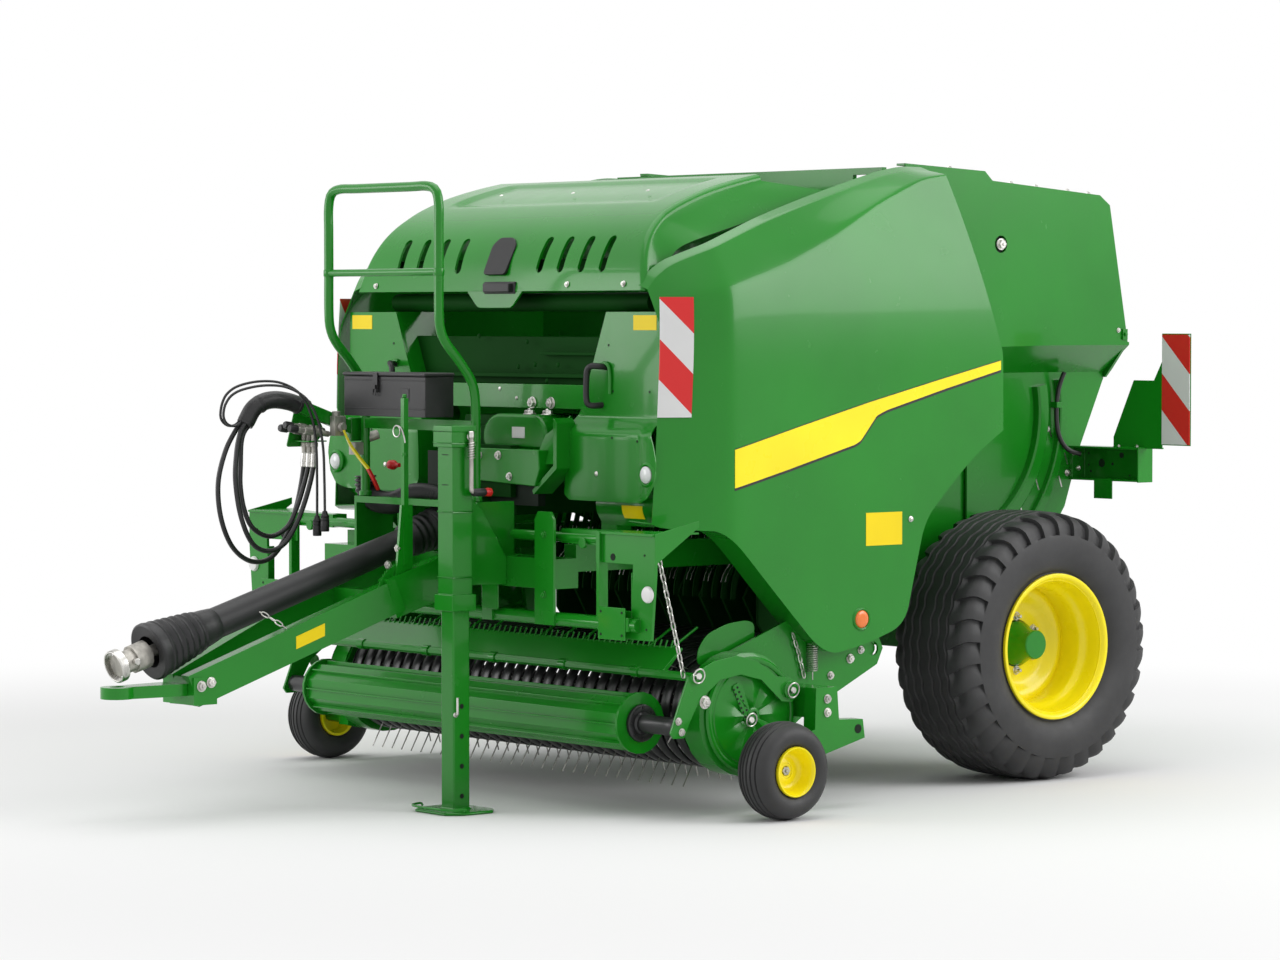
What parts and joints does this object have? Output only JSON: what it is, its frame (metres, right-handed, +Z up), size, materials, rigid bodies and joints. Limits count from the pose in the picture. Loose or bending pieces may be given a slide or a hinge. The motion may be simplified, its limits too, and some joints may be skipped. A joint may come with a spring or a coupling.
{
  "type": "round baler",
  "caption": "Towed round baler with wire-tine pickup, crop roller, fixed roller chamber, rising tailgate, gull-wing side doors, drawbar, park stand and flotation wheels.",
  "frame": {"origin": "on the ground, on the centreline, under the middle of the machine's length", "axes": "-Y is the direction of travel, towards the drawbar eye; +X is the machine's left side; +Z is up"},
  "size_m": [2.958, 4.43, 2.41],
  "materials": {
    "green_paint": "gloss",
    "yellow_paint": "gloss",
    "black_paint": "satin",
    "tyre_rubber": "matte",
    "hose_rubber": "satin",
    "black_plastic": "matte",
    "zinc": "satin",
    "board_film": "gloss"
  },
  "bodies": {
    "chassis": {"axle": "green_paint", "bale_chamber": "green_paint", "main_frame": "green_paint", "drawbar": "green_paint", "drawbar_eye": "green_paint", "pto_guard": "black_plastic", "gearbox": "green_paint", "front_cowl_left": "green_paint", "front_cowl_right": "green_paint", "handrail_hoop": "green_paint", "toolbox": "black_plastic", "stand_sleeve": "green_paint", "stand_crank": "zinc", "front_bars": "green_paint", "intake_trough": "green_paint", "hose_boom": "black_plastic", "coupler_rack": "green_paint", "hose_1": "hose_rubber", "hose_2": "hose_rubber", "hose_3": "hose_rubber", "cable_1": "hose_rubber", "cable_2": "hose_rubber", "plug_1": "black_plastic", "plug_2": "black_plastic"},
    "pto_shaft": {"pto_yoke": "zinc"},
    "toolbox_lid": {"toolbox_lid": "black_plastic"},
    "stand_leg": {"stand_leg": "green_paint"},
    "front_hood": {"front_hood": "green_paint"},
    "tailgate": {"tailgate": "green_paint", "rear_cover": "green_paint", "light_bar_left": "green_paint", "light_bar_right": "green_paint", "marker_board_left": "board_film", "marker_board_right": "board_film"},
    "pickup": {"pickup_frame": "green_paint", "pickup_bands": "black_paint", "gauge_arm_left": "green_paint", "gauge_arm_right": "green_paint"},
    "pickup_reel": {"pickup_reel": "black_paint"},
    "crop_guard": {"crop_guard": "green_paint"},
    "crop_roller": {"crop_roller": "green_paint"},
    "feed_rotor": {"feed_rotor": "green_paint"},
    "wheel_left": {"tyre_left": "tyre_rubber", "wheel_rim_left": "yellow_paint", "wheel_hub_left": "green_paint"},
    "gauge_wheel_left": {"gauge_tyre_left": "tyre_rubber", "gauge_rim_left": "yellow_paint"},
    "side_door_left": {"side_door_left": "green_paint"},
    "lift_barrel_left": {"lift_barrel_left": "green_paint"},
    "lift_rod_left": {"lift_rod_left": "zinc"},
    "wheel_right": {"tyre_right": "tyre_rubber", "wheel_rim_right": "yellow_paint", "wheel_hub_right": "green_paint"},
    "gauge_wheel_right": {"gauge_tyre_right": "tyre_rubber", "gauge_rim_right": "yellow_paint"},
    "side_door_right": {"side_door_right": "green_paint"},
    "lift_barrel_right": {"lift_barrel_right": "green_paint"},
    "lift_rod_right": {"lift_rod_right": "zinc"}
  },
  "joints": [
    {"name": "pto_spin", "type": "hinge", "parent": "chassis", "child": "pto_shaft", "pos_m": [0, -1.745, 0.7], "axis": [0, 0.954, 0.2997], "continuous": true},
    {"name": "toolbox_lid_swing", "type": "hinge", "parent": "chassis", "child": "toolbox_lid", "pos_m": [0, -0.823, 1.594], "axis": [-1, 0, 0], "range_deg": [0, 95]},
    {"name": "stand_slide", "type": "slide", "parent": "chassis", "child": "stand_leg", "axis": [0, 0, 1], "range_m": [0, 0.3]},
    {"name": "front_hood_swing", "type": "hinge", "parent": "chassis", "child": "front_hood", "pos_m": [0, 0.415, 2.29], "axis": [-1, 0, 0], "range_deg": [0, 45]},
    {"name": "tailgate_swing", "type": "hinge", "parent": "chassis", "child": "tailgate", "pos_m": [0, 1.473, 2.102], "axis": [1, 0, 0], "range_deg": [0, 70]},
    {"name": "wheel_left_spin", "type": "hinge", "parent": "chassis", "child": "wheel_left", "pos_m": [0.945, 1.445, 0.527], "axis": [1, 0, 0], "continuous": true},
    {"name": "side_door_left_swing", "type": "hinge", "parent": "chassis", "child": "side_door_left", "pos_m": [0.868, 0.545, 2.38], "axis": [0, -1, 0], "range_deg": [0, 65]},
    {"name": "lift_barrel_left_swing", "type": "hinge", "parent": "chassis", "child": "lift_barrel_left", "pos_m": [0.715, 0.545, 1.5], "axis": [1, 0, 0], "range_deg": [-0.1, 1.34]},
    {"name": "lift_rod_left_slide", "type": "slide", "parent": "lift_barrel_left", "child": "lift_rod_left", "axis": [0, 0.9445, 0.3286], "range_m": [-0.001, 0.3512]},
    {"name": "wheel_right_spin", "type": "hinge", "parent": "chassis", "child": "wheel_right", "pos_m": [-0.945, 1.445, 0.527], "axis": [1, 0, 0], "continuous": true},
    {"name": "side_door_right_swing", "type": "hinge", "parent": "chassis", "child": "side_door_right", "pos_m": [-0.868, 0.545, 2.38], "axis": [0, 1, 0], "range_deg": [0, 65]},
    {"name": "lift_barrel_right_swing", "type": "hinge", "parent": "chassis", "child": "lift_barrel_right", "pos_m": [-0.715, 0.545, 1.5], "axis": [1, 0, 0], "range_deg": [-0.1, 1.34]},
    {"name": "lift_rod_right_slide", "type": "slide", "parent": "lift_barrel_right", "child": "lift_rod_right", "axis": [0, 0.9445, 0.3286], "range_m": [-0.001, 0.3512]},
    {"name": "pickup_lift", "type": "hinge", "parent": "chassis", "child": "pickup", "pos_m": [0, 0.545, 0.56], "axis": [-1, 0, 0], "range_deg": [0, 10]},
    {"name": "guard_lift", "type": "hinge", "parent": "pickup", "child": "crop_guard", "pos_m": [0, -0.015, 0.445], "axis": [-1, 0, 0], "range_deg": [0, 6]},
    {"name": "crop_roller_spin", "type": "hinge", "parent": "crop_guard", "child": "crop_roller", "pos_m": [0, -0.542, 0.339], "axis": [1, 0, 0], "continuous": true},
    {"name": "pickup_reel_spin", "type": "hinge", "parent": "pickup", "child": "pickup_reel", "pos_m": [0, -0.175, 0.36], "axis": [1, 0, 0], "continuous": true},
    {"name": "feed_rotor_spin", "type": "hinge", "parent": "chassis", "child": "feed_rotor", "pos_m": [0, 0.585, 0.73], "axis": [1, 0, 0], "continuous": true},
    {"name": "gauge_wheel_left_spin", "type": "hinge", "parent": "pickup", "child": "gauge_wheel_left", "pos_m": [1.39, -0.223, 0.1785], "axis": [1, 0, 0], "continuous": true},
    {"name": "gauge_wheel_right_spin", "type": "hinge", "parent": "pickup", "child": "gauge_wheel_right", "pos_m": [-1.39, -0.223, 0.1785], "axis": [1, 0, 0], "continuous": true}
  ],
  "couplings": [
    {"joint": "lift_barrel_left_swing", "follows": "tailgate_swing", "ratio": 0.01778},
    {"joint": "lift_rod_left_slide", "follows": "tailgate_swing", "m_per_rad": 0.28662},
    {"joint": "lift_barrel_right_swing", "follows": "tailgate_swing", "ratio": 0.01778},
    {"joint": "lift_rod_right_slide", "follows": "tailgate_swing", "m_per_rad": 0.28662}
  ]
}
